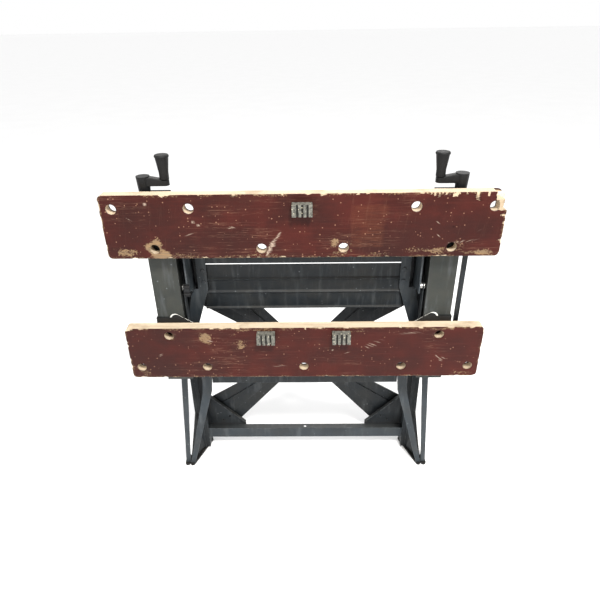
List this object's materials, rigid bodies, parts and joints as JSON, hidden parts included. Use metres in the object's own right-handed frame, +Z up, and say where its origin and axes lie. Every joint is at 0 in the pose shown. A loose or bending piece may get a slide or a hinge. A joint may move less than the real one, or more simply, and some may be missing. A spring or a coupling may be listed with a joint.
{
  "type": "folding workbench",
  "caption": "Folding clamping workbench and sawhorse, folded flat: plywood jaws with dog holes on steel channels, crank screws and hinged pressed-steel leg frames.",
  "frame": {"origin": "on the floor under the middle of the folded bench's bounding box", "axes": "+X along the jaws, +Y away from the jaw faces, +Z up"},
  "size_m": [0.757, 0.18, 0.8034],
  "materials": {
    "film_plywood": "worn film-faced plywood with bare ply edges",
    "leg_paint": "dark slate-blue paint, satin, dusty",
    "strip_paint": "slate-blue paint, satin, worn lighter",
    "channel_paint": "grey-olive paint, satin, dirty",
    "black_steel": "black paint, satin",
    "black_plastic": "moulded, matte",
    "zinc": "zinc plate, dulled",
    "nylon": "natural nylon",
    "peg_grey": "moulded ribbed plastic, paint-spattered"
  },
  "bodies": {
    "main_frame": {"main_leg_left": "leg_paint", "main_leg_right": "leg_paint", "main_head_left": "leg_paint", "main_head_right": "leg_paint", "foot_strut_left": "strip_paint", "foot_strut_right": "strip_paint", "main_shoe_left": "black_plastic", "main_shoe_right": "black_plastic", "step_bar": "strip_paint", "cross_bar": "leg_paint", "gusset_left": "leg_paint", "gusset_right": "leg_paint", "brace_rising": "leg_paint", "brace_falling": "leg_paint", "brace_rivet": "zinc", "frame_rivets": "leg_paint", "pivot_bolt_left": "zinc", "pivot_bolt_right": "zinc"},
    "swing_frame": {"swing_leg_left": "strip_paint", "swing_leg_right": "strip_paint", "apron_plate": "leg_paint", "upper_bar": "leg_paint", "swing_shoe_left": "black_plastic", "swing_shoe_right": "black_plastic", "apron_rivets": "strip_paint", "stay_pin_left": "zinc", "stay_pin_right": "zinc", "stay_clip": "black_steel"},
    "top": {"channel_left": "channel_paint", "channel_right": "channel_paint", "fixed_jaw": "film_plywood", "fixed_jaw_bolts": "zinc", "thrust_plate_left": "black_steel", "thrust_plate_right": "black_steel", "lock_stud": "zinc"},
    "jaw_slider": {"moving_jaw": "film_plywood", "moving_jaw_bolts": "zinc", "saddle_left": "black_steel", "saddle_right": "black_steel", "swivel_nut_left": "zinc", "swivel_nut_right": "zinc", "glide_left": "nylon", "glide_right": "nylon"},
    "screw_left": {"screw_left": "zinc", "crank_left": "black_steel", "knob_pin_left": "zinc"},
    "screw_right": {"screw_right": "zinc", "crank_right": "black_steel", "knob_pin_right": "zinc"},
    "grip_left": {"knob_left": "black_plastic"},
    "grip_right": {"knob_right": "black_plastic"},
    "peg_upper": {"peg_upper": "peg_grey"},
    "peg_lower_left": {"peg_lower_left": "peg_grey"},
    "peg_lower_right": {"peg_lower_right": "peg_grey"},
    "stay_left": {"stay_left": "leg_paint", "slide_pin_left": "zinc"},
    "stay_right": {"stay_right": "leg_paint", "slide_pin_right": "zinc"},
    "lock": {"lock_bar": "leg_paint"}
  },
  "joints": [
    {"name": "top_fold", "type": "hinge", "parent": "main_frame", "child": "top", "pos_m": [0, -0.023, 0.67], "axis": [-1, 0, 0], "range_deg": [0, 98]},
    {"name": "swing_spread", "type": "hinge", "parent": "main_frame", "child": "swing_frame", "pos_m": [0, -0.023, 0.67], "axis": [-1, 0, 0], "range_deg": [0, 28]},
    {"name": "jaw_slide", "type": "slide", "parent": "top", "child": "jaw_slider", "axis": [0, 0, 1], "range_m": [-0.02, 0.158]},
    {"name": "crank_left_turn", "type": "hinge", "parent": "top", "child": "screw_left", "pos_m": [-0.301, -0.025, 0.732], "axis": [0, 0, -1], "range_deg": [-1500, 11500]},
    {"name": "crank_right_turn", "type": "hinge", "parent": "top", "child": "screw_right", "pos_m": [0.301, -0.025, 0.732], "axis": [0, 0, -1], "range_deg": [-1500, 11500]},
    {"name": "knob_left_spin", "type": "hinge", "parent": "screw_left", "child": "grip_left", "pos_m": [-0.26, -0.025, 0.78], "axis": [0, 0, 1], "continuous": true},
    {"name": "knob_right_spin", "type": "hinge", "parent": "screw_right", "child": "grip_right", "pos_m": [0.26, -0.025, 0.78], "axis": [0, 0, 1], "continuous": true},
    {"name": "peg_upper_swivel", "type": "hinge", "parent": "top", "child": "peg_upper", "pos_m": [0, -0.07, 0.713], "axis": [0, -1, 0], "continuous": true},
    {"name": "peg_lower_left_swivel", "type": "hinge", "parent": "jaw_slider", "child": "peg_lower_left", "pos_m": [-0.079, -0.07, 0.433], "axis": [0, -1, 0], "continuous": true},
    {"name": "peg_lower_right_swivel", "type": "hinge", "parent": "jaw_slider", "child": "peg_lower_right", "pos_m": [0.079, -0.07, 0.433], "axis": [0, -1, 0], "continuous": true},
    {"name": "stay_left_turn", "type": "hinge", "parent": "swing_frame", "child": "stay_left", "pos_m": [-0.251, -0.023, 0.525], "axis": [-1, 0, 0], "range_deg": [0, 118]},
    {"name": "stay_right_turn", "type": "hinge", "parent": "swing_frame", "child": "stay_right", "pos_m": [0.251, -0.023, 0.525], "axis": [-1, 0, 0], "range_deg": [0, 118]},
    {"name": "lock_bar_swing", "type": "hinge", "parent": "top", "child": "lock", "pos_m": [0.3305, -0.023, 0.64], "axis": [1, 0, 0], "range_deg": [0, 40]}
  ],
  "couplings": [
    {"joint": "swing_spread", "follows": "top_fold", "ratio": 0.2857},
    {"joint": "stay_left_turn", "follows": "top_fold", "ratio": 1.1985},
    {"joint": "stay_right_turn", "follows": "top_fold", "ratio": 1.1985},
    {"joint": "crank_left_turn", "follows": "jaw_slide", "rad_per_m": 1256.6},
    {"joint": "crank_right_turn", "follows": "jaw_slide", "rad_per_m": 1256.6}
  ]
}
